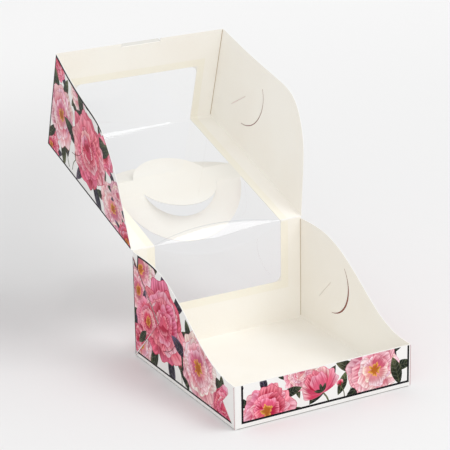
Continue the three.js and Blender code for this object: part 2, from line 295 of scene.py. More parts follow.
def ink_material():
    """Watercolour-like print: each petal or leaf runs from its base colour to its tip colour."""
    material, tree, shader = new_material("floral_print")
    make = Maker(tree)
    base = make.node("ShaderNodeVertexColor", layer_name="base_tint").outputs["Color"]
    tip = make.node("ShaderNodeVertexColor", layer_name="tip_tint").outputs["Color"]
    petal = make.node("ShaderNodeUVMap", uv_map="petal").outputs["UV"]
    spot = make.parts(petal)
    across, along = spot["X"], spot["Y"]
    place = make.node("ShaderNodeTexCoord").outputs["Object"]
    # Streaks run along the mark, and each tint has streaks of its own
    drift = make.vector("MULTIPLY", base, (31.0, 47.0, 23.0))
    stretched = make.vector("MULTIPLY", petal, (4.5, 0.9, 1.0))
    streak = make.noise(make.vector("ADD", stretched, drift), 1.6, 4, 0.6)
    wash = make.noise(place, 90, 3, 0.6)
    # The tip colour starts lower at the rims, and unevenly
    rim = make.math("POWER", make.absolute(across), 3.0)
    reach = make.plus(along, make.times(make.math("SUBTRACT", streak, 0.5), 0.9))
    reach = make.plus(reach, make.times(rim, 0.3))
    blended = make.mix(make.ramp(reach, 0.55, 1.08, 0.0, 1.0), base, tip)
    blended = make.mix(vein_mask(make, base, tip, across, along), blended, VEIN)
    grain = make.plus(make.times(streak, 0.55), make.times(wash, 0.45))
    shade = make.ramp(grain, 0.35, 0.68, 0.80, 1.12)
    tone = make.node("ShaderNodeCombineXYZ")
    for name in "XYZ":
        make.link(shade, tone.inputs[name])
    make.link(make.mix(1.0, blended, tone.outputs[0], "MULTIPLY"), shader.inputs["Base Color"])
    shader.inputs["Roughness"].default_value = 0.5
    shader.inputs["Specular IOR Level"].default_value = 0.12
    make.link(make.bump(make.noise(place, FIBRE, 4, 0.65), 0.08, 0.0002), shader.inputs["Normal"])
    return material


FILM_CLEAR = (0.98, 0.985, 0.99, 1)
FILM_GLUED = (1.0, 0.995, 0.965, 1)
FILM_HAZE = (0.42, 0.45, 0.50, 1)


def film_lap_mask(make, place):
    """Is 1 where the film lies glued on the board round the window, and 0 in the window."""
    spot = make.parts(place)
    edge = WINDOW_HALF * MM
    beside = make.ramp(make.absolute(spot["X"]), edge - 0.0002, edge + 0.0002, 0.0, 1.0)
    sill = make.ramp(spot["Z"], (WINDOW_SILL - 0.2) * MM, (WINDOW_SILL + 0.2) * MM, 1.0, 0.0)
    deep = make.dot(make.vector("SUBTRACT", place, HINGE_PLACE), INTO_LID)
    front = make.ramp(deep, (WINDOW_RISE - 0.4) * MM, WINDOW_RISE * MM, 0.0, 1.0)
    return make.math("MAXIMUM", beside, make.math("MAXIMUM", sill, front))


def film_material():
    """Clear film: it lets nearly all light through and mirrors at a slant. Its crease is a fine line."""
    material, tree, shader = new_material("clear_film")
    make = Maker(tree)
    tree.nodes.remove(shader)
    place = make.node("ShaderNodeTexCoord").outputs["Object"]
    lap = film_lap_mask(make, place)
    clear = make.node("ShaderNodeBsdfTransparent")
    make.link(make.mix(lap, FILM_CLEAR, FILM_GLUED), clear.inputs["Color"])
    haze = make.node("ShaderNodeBsdfDiffuse")
    haze.inputs["Color"].default_value = FILM_HAZE
    film = make.parts(make.node("ShaderNodeUVMap", uv_map="film").outputs["UV"])
    off_crease = make.absolute(make.math("SUBTRACT", film["Y"], 0.5))
    hazy = make.node("ShaderNodeMixShader")
    make.link(make.ramp(off_crease, 0.0, FILM_CREASE, 0.8, 0.012), hazy.inputs[0])
    make.link(clear.outputs[0], hazy.inputs[1])
    make.link(haze.outputs[0], hazy.inputs[2])
    gloss = make.node("ShaderNodeBsdfGlossy")
    gloss.inputs["Roughness"].default_value = 0.03
    make.link(make.bump(make.noise(place, 22, 1), 0.02, 0.004), gloss.inputs["Normal"])
    # The board behind the glued laps takes most of the mirroring away
    slant = make.node("ShaderNodeLayerWeight")
    slant.inputs["Blend"].default_value = 0.5
    steep = make.math("POWER", slant.outputs["Facing"], 4.5)
    mirrored = make.plus(make.times(steep, 0.85), 0.065)
    mirrored = make.times(mirrored, make.math("SUBTRACT", 1.0, make.times(lap, 0.85)))
    both = make.node("ShaderNodeMixShader")
    make.link(mirrored, both.inputs[0])
    make.link(hazy.outputs[0], both.inputs[1])
    make.link(gloss.outputs[0], both.inputs[2])
    make.link(both.outputs[0], tree.nodes["Material Output"].inputs["Surface"])
    return material


def plain_material(name, colour, roughness):
    """A dull surface with a little mottling."""
    material, tree, shader = new_material(name)
    make = Maker(tree)
    place = make.node("ShaderNodeTexCoord").outputs["Object"]
    dark = tuple(value * 0.85 for value in colour[:3]) + (1,)
    make.link(make.mix(make.noise(place, 300), dark, colour), shader.inputs["Base Color"])
    shader.inputs["Roughness"].default_value = roughness
    return material


def lid_place(x, along, deep):
    """A point of the lid, given along the lid from the hinge and inward from its top."""
    y = HINGE[0] + along * ALONG_LID[1] + deep * INTO_LID[1]
    z = HINGE[1] + along * ALONG_LID[2] + deep * INTO_LID[2]
    return Vector((x, y, z)) * MM


def splay(along, deep):
    """How far a lid flap stands out from square there."""
    corner = LID_DEPTH - SPLAY_MARGIN
    lean = math.radians(FLAP_SPLAY * (1 - min(1, max(0, along) / corner) ** SPLAY_FADE))
    return math.tan(lean) * max(0, deep - LID_SKIN - SPLAY_MARGIN)


def add_mesh(name, points, faces, material):
    """A mesh object from points in metres."""
    mesh = bpy.data.meshes.new(name)
    mesh.from_pydata([tuple(point) for point in points], [], faces)
    mesh.update()
    mesh.materials.append(material)
    made = bpy.data.objects.new(name, mesh)
    bpy.context.scene.collection.objects.link(made)
    return made


def smooth_curve(points, steps=6):
    """Points on a smooth curve through the given ones."""
    out = []
    count = len(points)
    for i in range(count - 1):
        before, here = points[max(0, i - 1)], points[i]
        there, after = points[i + 1], points[min(count - 1, i + 2)]
        for k in range(steps):
            t = k / steps
            out.append(tuple(
                0.5 * (2 * b + (c - a) * t + (2 * a - 5 * b + 4 * c - d) * t * t
                       + (3 * b - a - 3 * c + d) * t ** 3)
                for a, b, c, d in zip(before, here, there, after)
            ))
    out.append(tuple(points[-1]))
    return out


# The floral print. A mark is an outline in a panel's own plane, with a place across and along it.
# Each pair of tints is the colour at a mark's base and the one at its tip.
PINKS = [((0.50, 0.015, 0.06), (0.93, 0.29, 0.40)), ((0.64, 0.05, 0.12), (0.96, 0.57, 0.63)),
         ((0.74, 0.11, 0.19), (0.94, 0.42, 0.51)), ((0.42, 0.01, 0.04), (0.84, 0.18, 0.28))]
BLUSHES = [((0.66, 0.16, 0.22), (0.96, 0.70, 0.73)), ((0.74, 0.28, 0.31), (0.97, 0.82, 0.82)),
           ((0.60, 0.12, 0.20), (0.94, 0.58, 0.64))]
LEAVES = [((0.010, 0.016, 0.010), (0.080, 0.095, 0.045)), ((0.018, 0.012, 0.028), (0.14, 0.105, 0.18)),
          ((0.016, 0.022, 0.010), (0.12, 0.13, 0.060))]
GOLD = ((0.45, 0.13, 0.015), (0.88, 0.48, 0.10))
LINE = ((0.006, 0.006, 0.008), (0.010, 0.009, 0.012))
VEIN = (0.20, 0.21, 0.17, 1)
RIB_TINT = (0.34, 0.34, 0.29)
# Half the width of a leaf's midrib at its root
RIB = 0.3

# Rings of petals: their number, and their length and width as shares of the flower's radius
OPEN_RINGS = [(6, 1.0, 1.02), (6, 0.83, 0.90), (5, 0.66, 0.80), (5, 0.50, 0.60)]
CLOSED_RINGS = OPEN_RINGS + [(5, 0.38, 0.42), (3, 0.26, 0.34)]
# A half-open flower's petals: their turn and their share of its size
CUP_PETALS = [(-0.95, 0.85), (0.95, 0.85), (-0.6, 0.95), (0.6, 0.95), (-0.25, 1), (0.25, 1), (0, 0.8)]


class Design:
    """The marks of one printed panel, from the lowest to the topmost."""

    def __init__(self, seed):
        self.chance = random.Random(seed)
        self.marks = []

    def add(self, outline, root, angle, length, width, tints):
        """Adds an outline given in a local plane whose +Y runs from `root` along `angle`."""
        cosine, sine = math.cos(angle), math.sin(angle)
        points = [(root[0] + x * cosine - y * sine, root[1] + x * sine + y * cosine) for x, y in outline]
        wobble = [self.chance.uniform(0.90, 1.08) for _ in range(3)]
        base, tip = (tuple(min(0.97, c * w) for c, w in zip(tint, wobble)) for tint in tints)
        self.marks.append((points, root, angle, length, width, base, tip))

    def petal(self, root, angle, length, width, tints, ruffle, notch, shaded=False):
        """A rounded petal with a ruffled rim and a dented tip."""
        waves, start = self.chance.randint(6, 9), self.chance.uniform(0, math.tau)
        outline = []
        for k in range(32):
            turn = math.tau * k / 32
            up = (1 - math.cos(turn)) / 2
            swell = 1 + ruffle * up * math.sin(waves * turn + start)
            dent = notch * length * math.exp(-((turn - math.pi) / 0.35) ** 2)
            across = -width / 2 * math.sin(turn) * (0.4 + 0.6 * up) * swell * 1.25
            outline.append((across, length * up * swell - dent))
        if shaded:
            # A darker, slightly larger petal underneath stands for its shadow
            centre = length * 0.62
            larger = 1.045
            cast = [(x * larger, centre + (y - centre) * larger) for x, y in outline]
            middling = tuple(0.8 * a + 0.2 * b for a, b in zip(*tints))
            self.add(cast, root, angle, length, width, (middling, middling))
        self.add(outline, root, angle, length, width, tints)

    def leaf(self, root, angle, length, width, tints=None):
        """A pointed leaf with a pale midrib."""
        tints = tints or self.chance.choice(LEAVES)
        bend = self.chance.uniform(-0.16, 0.16) * length
        sides = []
        for sign in (1, -1):
            side = [(sign * width / 2 * math.sin(math.pi * t) ** 0.85 + bend * t * t, length * t)
                    for t in (k / 10 for k in range(11))]
            sides.append(side)
        self.add(sides[0] + sides[1][-2:0:-1], root, angle, length, width, tints)
        steps = [k / 6 for k in range(6)]
        rib = [(bend * t * t + RIB * (1 - t), length * t) for t in steps]
        back = [(bend * t * t - RIB * (1 - t), length * t) for t in reversed(steps)]
        self.add(rib + back, root, angle, length, width, (tints[1], RIB_TINT))

    def stem(self, start, end, bow, width):
        """A thin bent stalk."""
        length = math.dist(start, end)
        angle = math.atan2(-(end[0] - start[0]), end[1] - start[1])
        side = [(bow * length * math.sin(math.pi * t), length * t) for t in (k / 8 for k in range(9))]
        outline = [(x + width / 2, y) for x, y in side] + [(x - width / 2, y) for x, y in reversed(side)]
        self.add(outline, start, angle, length, width, LEAVES[2])

    def bud(self, root, angle, size):
        """A closed bud on a short stalk."""
        tip = (root[0] - math.sin(angle) * size * 1.6, root[1] + math.cos(angle) * size * 1.6)
        self.stem(root, tip, 0.1, 0.8)
        for turn in (-0.28, 0.28, 0):
            self.petal(tip, angle + turn, size * 1.15, size * 0.62, self.chance.choice(PINKS), 0.02, 0)
        for turn in (-0.5, 0.5):
            self.leaf(tip, angle + turn, size * 0.8, size * 0.26, LEAVES[2])

    def flower(self, middle, radius, palette, turn=0.0, heart=True):
        """A rosette: rings of petals, with leaves behind it and a golden heart where it is open."""
        for k in range(6):
            angle = turn + math.tau * k / 6 + self.chance.uniform(-0.35, 0.35)
            root = (middle[0] - math.sin(angle) * radius * 0.6, middle[1] + math.cos(angle) * radius * 0.6)
            self.leaf(root, angle + self.chance.uniform(-0.5, 0.5), radius * self.chance.uniform(0.7, 1.05),
                      radius * self.chance.uniform(0.26, 0.38))
        rings = OPEN_RINGS if heart else CLOSED_RINGS
        for ring, (count, reach, breadth) in enumerate(rings):
            for k in range(count):
                angle = turn + math.tau * (k + 0.5 * (ring % 2)) / count + self.chance.uniform(-0.12, 0.12)
                size = radius * reach * self.chance.uniform(0.86, 1.08)
                self.petal(middle, angle, size, radius * breadth, self.chance.choice(palette), 0.045,
                           self.chance.choice((0.0, 0.03, 0.08, 0.16)), True)
        if heart:
            for k in range(16):
                angle = math.tau * k / 16 + self.chance.uniform(-0.2, 0.2)
                size = radius * self.chance.uniform(0.16, 0.27)
                self.petal(middle, angle, size, radius * 0.07, GOLD, 0.0, 0)

    def cup(self, root, angle, size, palette):
        """A half-open flower seen from the side, with its stalk."""
        back = (root[0] + math.sin(angle) * size * 0.8, root[1] - math.cos(angle) * size * 0.8)
        self.stem(back, root, 0.12, 1.4)
        for turn, share in CUP_PETALS:
            tints = self.chance.choice(palette)
            self.petal(root, angle + turn, size * share, size * 0.7, tints, 0.05, 0.06, True)
        for turn in (-0.8, 0, 0.8):
            self.leaf(root, angle + turn, size * 0.36, size * 0.14, LEAVES[0])

    def posies(self, flowers, low, high):
        """Flowers with a leaf on each side. `low` and `high` give each leaf's shift and angle."""
        for middle, radius, palette in flowers:
            self.leaf((middle[0] + radius, middle[1] + low[0]), low[1], radius * 1.3, radius * 0.5)
            self.leaf((middle[0] - radius, middle[1] + high[0]), high[1], radius * 1.2, radius * 0.45)
            self.flower(middle, radius, palette, radius)

    def border(self, line, width, tints=LINE):
        """A line along an open run of points, dark where no tints are given."""
        for start, end in zip(line, line[1:]):
            length = math.dist(start, end)
            angle = math.atan2(-(end[0] - start[0]), end[1] - start[1])
            half = width / 2
            outline = [(-half, -half), (half, -half), (half, length + half), (-half, length + half)]
            self.add(outline, start, angle, length, width, tints)


# The half-round lock cut in each side wall and lid flap, with its ends in degrees
ARC_RADIUS = 28.2
ARC_ALONG = 48
ARC_UP = 51
ARC_FROM = 38
ARC_TO = -84
ARC_STEPS = 20
CUT_WIDTH = 0.5
# Painted shade: the dark line of each cut, and of each ear's upper edge, laid in the print
CUT_SHADE = ((0.12, 0.012, 0.016), (0.16, 0.02, 0.02))


def lock_arc():
    """The lock cut as points along and up from its corner."""
    points = []
    for k in range(ARC_STEPS + 1):
        turn = math.radians(ARC_FROM + (ARC_TO - ARC_FROM) * k / ARC_STEPS)
        points.append((ARC_ALONG + ARC_RADIUS * math.cos(turn), ARC_UP + ARC_RADIUS * math.sin(turn)))
    return points


# How far the print lies off the board. The curved flaps' print is laid in strips and lies further off.
INK_LIFT = 0.03
FLAP_LIFT = 0.12
STRIP = 7
# How far below a free edge the print ends, and the middle of its dark line runs
TRIM = 0.35
LINE_INSET = 0.9
# Widths of the dark lines along most edges and round the windows
BORDER = 2.0
WINDOW_BORDER = 1.2


def counterclockwise(shape):
    """The same outline, turned round where it runs clockwise."""
    area = sum(a[0] * b[1] - b[0] * a[1] for a, b in zip(shape, shape[1:] + shape[:1]))
    return shape if area > 0 else shape[::-1]


def print_panel(name, body, outline, design, place, strips=()):
    """Lays a design over a panel, cut to its outline. A curved panel is also cut across at each strip."""
    points, edges, faces = [], [], []
    for shape in [outline] + [mark[0] for mark in design.marks]:
        faces.append(list(range(len(points), len(points) + len(shape))))
        points.extend(Vector(point) for point in counterclockwise(shape))
    low = min(point[1] for point in outline) - 1
    high = max(point[1] for point in outline) + 1
    for at in strips:
        edges.append((len(points), len(points) + 1))
        points.extend((Vector((at, low)), Vector((at, high))))
    cut = delaunay_2d_cdt(points, edges, faces, 1, 1e-5)
    corners, pieces, inside = cut[0], cut[2], cut[5]
    # A piece takes its tints from the topmost of the marks that cover it
    kept = [(face, max(ids)) for face, ids in zip(pieces, inside) if 0 in ids and max(ids) > 0]
    used = sorted({corner for face, _ in kept for corner in face})
    order = {corner: k for k, corner in enumerate(used)}
    corners = [corners[k] for k in used]
    made = add_mesh(name, [place(*corner) for corner in corners],
                    [[order[corner] for corner in face] for face, _ in kept], INK)
    mesh = made.data
    mesh.uv_layers.new(name="petal")
    mesh.color_attributes.new("base_tint", "FLOAT_COLOR", "CORNER")
    mesh.color_attributes.new("tip_tint", "FLOAT_COLOR", "CORNER")
    petal = mesh.uv_layers["petal"]
    base_tint, tip_tint = mesh.color_attributes["base_tint"], mesh.color_attributes["tip_tint"]
    for polygon, (_, mark) in zip(mesh.polygons, kept):
        _, root, angle, length, width, base, tip = design.marks[mark - 1]
        cosine, sine = math.cos(angle), math.sin(angle)
        for loop in polygon.loop_indices:
            corner = corners[mesh.loops[loop].vertex_index]
            dx, dy = corner[0] - root[0], corner[1] - root[1]
            across, along = dx * cosine + dy * sine, dy * cosine - dx * sine
            petal.data[loop].uv = (across / (width / 2), along / length)
            base_tint.data[loop].color = (*base, 1)
            tip_tint.data[loop].color = (*tip, 1)
    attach(made, body)


def tray_wall_edge():
    """A side wall's free edge, as places from the back corner forward and their heights."""
    drop = SIDE_PEAK - FRONT_HEIGHT
    return smooth_curve([(along * DEPTH, SIDE_PEAK - down * drop) for along, down in TRAY_EDGE])


def flap_edge():
    """A lid flap's free edge, as places along the lid and into its depth."""
    return smooth_curve([(along * LID_DEPTH, down * LID_RIM) for along, down in FLAP_EDGE])


def print_tray_front():
    """The low front wall, with places from its left end and up."""
    left, right, foot = 6.3, 158.0, 4.5
    design = Design(11)
    design.leaf((8, 34), 2.2, 28, 12)
    design.leaf((146, 34), 2.6, 30, 13)
    design.leaf((66, 6), -0.7, 26, 11)
    design.leaf((90, 34), 2.5, 24, 10)
    design.flower((58, 34), 15, BLUSHES, 0.7, False)
    design.flower((28, 10), 24, PINKS, 0.3)
    design.cup((78, 14), 0.35, 22, PINKS)
    design.leaf((92, 8), -0.5, 20, 8)
    design.bud((98, 5), 0.3, 6)
    design.bud((101, 7), -0.5, 5)
    design.flower((126, 22), 26, BLUSHES, 0.1)
    design.leaf((150, 4), 0.25, 26, 10)
    design.border([(left, FRONT_HEIGHT), (left, foot), (right, foot), (right, FRONT_HEIGHT)], 2.3)
    rim, top = 0.6, FRONT_HEIGHT - TRIM
    outline = [(left - rim, foot - rim), (right + rim, foot - rim), (right + rim, top), (left - rim, top)]
    print_panel("print_tray_front", "base", outline, design,
                lambda u, v: Vector((u - HALF_WIDTH, -HALF_DEPTH - INK_LIFT, v)) * MM)


def print_tray_side(name, side, seed):
    """A side wall, with places from the back corner forward and up."""
    foot, front, back = 4.1, 165, 8
    shoulder = 79
    design = Design(seed)
    design.leaf((94, 4), 0.5, 34, 14)
    design.leaf((36, 2), 0.3, 30, 13)
    design.flower((14, 82), 24, BLUSHES, 0.4)
    design.flower((12, 14), 21, BLUSHES, 0.9)
    design.flower((150, 12), 20, PINKS, 0.1, False)
    design.bud((82, 4), 0.2, 8)
    design.bud((88, 6), -0.5, 7)
    design.flower((52, 46), 36, PINKS, 0.2, False)
    design.flower((110, 30), 30, BLUSHES, 0.5)
    design.border(lock_arc(), CUT_WIDTH, CUT_SHADE)
    edge = tray_wall_edge()
    design.border([(front, foot), (3, foot)], BORDER)
    line = [(back, shoulder), (back + 1.5, SIDE_PEAK - 1)]
    line += [(u, v - LINE_INSET) for u, v in edge if 11 < u < 42]
    design.border(line, BORDER)
    outline = [(0.8, foot - 0.5), (front, foot - 0.5), (front, FRONT_HEIGHT)]
    outline += [(u, v - TRIM) for u, v in reversed(edge) if back + 1.5 < u < front]
    outline += [(back + 0.6, SIDE_PEAK - TRIM), (back - 1, shoulder), (0.8, shoulder)]
    print_panel(name, "base", outline, design,
                lambda u, v: Vector((side * (HALF_WIDTH + INK_LIFT), HALF_DEPTH - u, v)) * MM)


def print_ear(name, side, seed):
    """The printed triangle that the back wall folds round each tall corner."""
    design = Design(seed)
    design.leaf((4, 20), 0.2, 28, 11)
    design.flower((10, 62), 22, BLUSHES, 0.2)
    design.flower((26, 40), 21, PINKS, 0.6)
    design.flower((6, 18), 14, PINKS, 0.1, False)
    design.leaf((22, 30), 2.4, 20, 8)
    design.border([(1.1, 86.5), (1.1, 2)], 1.3)
    # A dark line of painted shade along the ear's upper edge, where it stands off the wall
    design.border([(1.1, EAR_TOP - 0.9), (EAR_APEX - 0.5, EAR_APEX)], 0.9, CUT_SHADE)
    margin = 0.08
    outline = [(0.7, 2), (EAR_APEX - margin, EAR_APEX), (0.7, EAR_TOP - margin)]
    print_panel(name, "base", outline, design,
                lambda u, v: Vector((side * (HALF_WIDTH + BOARD + INK_LIFT), HALF_DEPTH - u, v)) * MM)


def print_tray_back():
    """The back wall round its window, with places from its middle and up."""
    design = Design(31)
    flowers = [((-58, 20), 22, PINKS), ((-12, 14), 24, BLUSHES), ((34, 24), 21, PINKS),
               ((68, 10), 18, BLUSHES), ((-72, 66), 19, BLUSHES), ((72, 62), 20, PINKS)]
    design.posies(flowers, (-6, 0.6), (8, 2.4))
    left, right, foot, top = -78, 78, 2.2, BACK_HEIGHT - 1.2
    design.border([(left, top), (left, foot), (right, foot), (right, top)], BORDER)
    side, sill = WINDOW_HALF + 1, WINDOW_SILL - 1
    inner = [(side, top), (side, sill), (-side, sill), (-side, top)]
    design.border(inner, WINDOW_BORDER)
    outline = [(left - 0.5, foot - 0.5), (right + 0.5, foot - 0.5), (right + 0.5, top)]
    outline += inner + [(left - 0.5, top)]
    print_panel("print_tray_back", "base", outline, design,
                lambda u, v: Vector((u, HALF_DEPTH + INK_LIFT, v)) * MM)


def print_lid_side(name, side, seed):
    """A lid flap, with places along the lid and into its depth."""
    design = Design(seed)
    design.leaf((126, 12), -0.3, 34, 14)
    design.leaf((122, 70), 1.6, 32, 13)
    design.flower((34, 20), 25, BLUSHES, 0.1)
    design.flower((50, 64), 17, PINKS, 0.2)
    design.flower((24, 40), 14, BLUSHES, 0.5, False)
    design.flower((110, 90), 20, BLUSHES, 0.5)
    design.flower((158, 88), 18, PINKS, 0.2, False)
    design.flower((8, 4), 16, PINKS, 0.8)
    design.flower((160, 4), 17, PINKS, 0.4)
    design.bud((116, 6), 0.4, 9)
    design.bud((122, 5), -0.4, 8)
    design.flower((144, 44), 29, BLUSHES, 0.6)
    design.flower((84, 44), 36, PINKS, 0.3, False)
    design.border([(LID_DEPTH - along, LID_SKIN + up) for along, up in lock_arc()], CUT_WIDTH, CUT_SHADE)
    edge = flap_edge()
    front, fold, rim = 166.6, 1.4, LID_RIM - 1.2
    design.border([(2, fold), (front, fold), (front, rim)], BORDER)
    design.border([(u, v - LINE_INSET) for u, v in edge if u > 56] + [(front, rim)], 3.0)
    outline = [(1.5, fold - 0.5), (front + 0.5, fold - 0.5), (front + 0.5, LID_RIM - TRIM)]
    outline += [(u, v - TRIM) for u, v in reversed(edge) if 2 < u < front and v > fold]
    print_panel(name, "lid", outline, design,
                lambda u, v: lid_place(side * (LID_HALF + FLAP_LIFT + splay(u, v)), u, v),
                [STRIP * k for k in range(1, int(LID_DEPTH / STRIP) + 1)])


def print_lid_front():
    """The lid's front wall round its window and lip, with places from its middle and into its depth."""
    design = Design(61)
    flowers = [((-62, 72), 18, PINKS), ((-20, 76), 17, BLUSHES), ((24, 72), 18, PINKS),
               ((62, 78), 17, BLUSHES), ((-71, 24), 18, BLUSHES), ((72, 30), 18, PINKS)]
    design.posies(flowers, (-5, 0.8), (6, 2.2))
    left, right, fold, rim = -79.5, 79.5, 1.4, LID_RIM - 1.2
    side, sill = WINDOW_HALF + 1, WINDOW_RISE + 1
    inner = [(-side, fold), (-side, sill), (side, sill), (side, fold)]
    design.border([(left, fold), (left, rim), (right, rim), (right, fold)], BORDER)
    design.border(inner, WINDOW_BORDER)
    lip, root, end = LIP_HALF + 0.8, rim - LIP_DEPTH, rim + 0.5
    outline = [(left - 0.5, fold)] + inner + [(right + 0.5, fold), (right + 0.5, end)]
    outline += [(lip, end), (lip, root), (-lip, root), (-lip, end), (left - 0.5, end)]
    print_panel("print_lid_front", "lid", outline, design,
                lambda u, v: lid_place(u, LID_DEPTH + INK_LIFT, v))


def lid_top_place(u, v):
    """A place on the lid's outside, from its middle and along it."""
    return lid_place(u, v, LID_SKIN - INK_LIFT)


def print_lid_top():
    """The two margins beside the lid's window."""
    near, far = 2, LID_DEPTH - 1.2
    for name, side, seed in (("print_lid_top_left", -1, 71), ("print_lid_top_right", 1, 72)):
        design = Design(seed)
        for k, (across, along) in enumerate(((72, 20), (68, 58), (74, 96), (69, 132), (73, 160))):
            design.leaf((side * across, along + 12), 0.4, 22, 9)
            design.leaf((side * across, along - 12), 2.6, 20, 8)
            design.flower((side * across, along), 15 + 2 * (k % 2), (PINKS, BLUSHES)[k % 2], k)
        inner, outer = side * (WINDOW_HALF + 1), side * (LID_HALF - 1.8)
        design.border([(inner, far - 0.2), (inner, near)], 0.8)
        design.border([(outer, far - 0.2), (outer, near)], 1.0)
        outline = [(inner, near), (outer, near), (outer, far), (inner, far)]
        print_panel(name, "lid", outline, design, lid_top_place)


def circle(radius):
    """Points on a circle round the origin."""
    turns = [math.tau * k / 64 for k in range(64)]
    return [(radius * math.sin(turn), radius * math.cos(turn)) for turn in turns]


def print_handle_disc():
    """The handle's disc: a dark ring, made of a dark circle under a pale one, round a flower."""
    design = Design(73)
    for radius, tints in ((DISC_RADIUS - 1.2, LINE), (DISC_RADIUS - 2.4, (COATED[:3], COATED[:3]))):
        design.add(circle(radius), (0, DISC_CENTRE), 0, radius, radius, tints)
    design.flower((1, DISC_CENTRE - 2), 24, PINKS, 0.2)
    outline = [(x, DISC_CENTRE + y) for x, y in circle(DISC_RADIUS - 0.6)]
    print_panel("print_handle_disc", "lid", outline, design, lid_top_place)


# The window film. It is one sheet from the back wall over the hinge and the lid's top to the front wall.
FILM_COLUMNS = 120
FILM_GAP = 0.05
# Rows of the mesh on the back wall, in each round bend, along the lid's top and on its front wall
WALL_ROWS = 6
BEND_ROWS = 24
TOP_ROWS = 16
FRONT_ROWS = 5
# Each bend's radius where the film is glued down and where it is free
HINGE_BEND = (2.0, 26.0)
FRONT_BEND = (4.0, 19.0)
# How far round the bend over the hinge the crease lies, and its width in the film's own coordinate
CREASE_PLACE = 0.85
FILM_CREASE = 0.0016


def film_profile(share):
    """The film's section at a place across it, from -1 at the left edge to 1 at the right edge."""
    across = min(1, abs(share) * (WINDOW_HALF + FILM_LAP) / WINDOW_HALF)
    hinge_radius = HINGE_BEND[0] + (HINGE_BEND[1] - HINGE_BEND[0]) * (1 - across ** 2)
    # The bend at the lid's front is wide on the left and tight on the right
    left = max(0.0, min(1.0, (0.35 - share) / 1.1))
    front_radius = FRONT_BEND[0] + (FRONT_BEND[1] - FRONT_BEND[0]) * left * min(1, 4 * (1 - across))
    wall_y = HALF_DEPTH - BOARD - FILM_GAP
    opening = math.pi / 2 + LID_ANGLE
    # The corner where the wall's and the lid's inner planes meet
    depth = LID_SKIN + BOARD + FILM_GAP
    corner_z = HINGE[1] + (wall_y - HINGE[0] + depth * math.sin(LID_ANGLE)) * math.tan(LID_ANGLE)
    corner_z += depth * math.cos(LID_ANGLE)
    corner = Vector((wall_y, corner_z))
    reach = hinge_radius / math.tan(opening / 2)
    # The flat part on the back wall, and the bend over the hinge
    low = WINDOW_SILL - FILM_LAP
    points = [(wall_y, low + k / WALL_ROWS * (corner_z - reach - low)) for k in range(WALL_ROWS)]
    centre = corner + Vector((hinge_radius, -reach))
    for k in range(BEND_ROWS + 1):
        turn = math.pi - (math.pi - opening) * k / BEND_ROWS
        points.append((centre[0] + hinge_radius * math.cos(turn), centre[1] + hinge_radius * math.sin(turn)))
    # The flat part under the lid's top, the bend at its front and the flat part on its front wall
    start = (corner - Vector(HINGE)).dot(Vector(ALONG_LID[1:])) + reach
    far = LID_INNER_DEPTH - FILM_GAP
    end = far - front_radius
    lid_points = [(start + k / TOP_ROWS * (end - start), depth) for k in range(1, TOP_ROWS)]
    for k in range(BEND_ROWS + 1):
        turn = math.pi / 2 * k / BEND_ROWS
        along, deep = end + front_radius * math.sin(turn), depth + front_radius * (1 - math.cos(turn))
        lid_points.append((along, deep))
    rise = LID_SKIN + WINDOW_RISE + FILM_LAP - depth - front_radius
    lid_points += [(far, depth + front_radius + k / FRONT_ROWS * rise) for k in range(1, FRONT_ROWS + 1)]
    placed = [lid_place(0, along, deep) / MM for along, deep in lid_points]
    return points + [(point[1], point[2]) for point in placed]


def make_film():
    """The clear sheet, with a coordinate whose half lies on the crease over the hinge."""
    half = WINDOW_HALF + FILM_LAP
    shares = [2 * k / FILM_COLUMNS - 1 for k in range(FILM_COLUMNS + 1)]
    profiles = [film_profile(share) for share in shares]
    rows = len(profiles[0])
    crease_row = WALL_ROWS + BEND_ROWS * CREASE_PLACE
    points = [Vector((share * half, *profile[row])) * MM for share, profile in zip(shares, profiles)
              for row in range(rows)]
    faces = [(i * rows + j, (i + 1) * rows + j, (i + 1) * rows + j + 1, i * rows + j + 1)
             for i in range(FILM_COLUMNS) for j in range(rows - 1)]
    film = add_mesh("clear_window_film", points, faces, film_material())
    layer = film.data.uv_layers.new(name="film")
    for loop in film.data.loops:
        column, row = divmod(loop.vertex_index, rows)
        layer.data[loop.index].uv = (column / FILM_COLUMNS, 0.5 + (row - crease_row) / rows * 0.5)
    for polygon in film.data.polygons:
        polygon.use_smooth = True
    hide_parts("window_film_base", "window_film_lid")
    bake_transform(film)


# The crease that joins the back wall to the lid on each side of the window
CREASE_REACH = 1.4
CREASE_SKIN = 0.03
CREASE_STEPS = 8


def make_crease(name, near, far, material):
    """A folded strip of board as thick as the sheet, from the wall's top to the lid's first part."""
    half = BOARD / 2 + CREASE_SKIN
    hinge = Vector(HINGE)
    upright, leaning = Vector((0, 1)), Vector(ALONG_LID[1:])
    wall_normal, lid_normal = Vector((-1, 0)), Vector(INTO_LID[1:])
    upper, lower = [], []
    for k in range(CREASE_STEPS + 1):
        run = CREASE_REACH * (2 * k / CREASE_STEPS - 1)
        if run < 0:
            middle, normal = hinge + run * upright, wall_normal
        elif run > 0:
            middle, normal = hinge + run * leaning, lid_normal
        else:
            middle, normal = hinge, (wall_normal + lid_normal).normalized()
        upper.append(middle + half * normal)
        lower.append(middle - half * normal)
    ring = upper + lower[::-1]
    count = len(ring)
    points = [Vector((x, *point)) * MM for x in (near, far) for point in ring]
    faces = [(k, (k + 1) % count, count + (k + 1) % count, count + k) for k in range(count)]
    faces += [tuple(range(count - 1, -1, -1)), tuple(range(count, 2 * count))]
    strip = add_mesh(name, points, faces, material)
    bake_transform(strip)


# How deep the bars of painted shade are that stand for gaps
GAP_DEPTH = 0.2


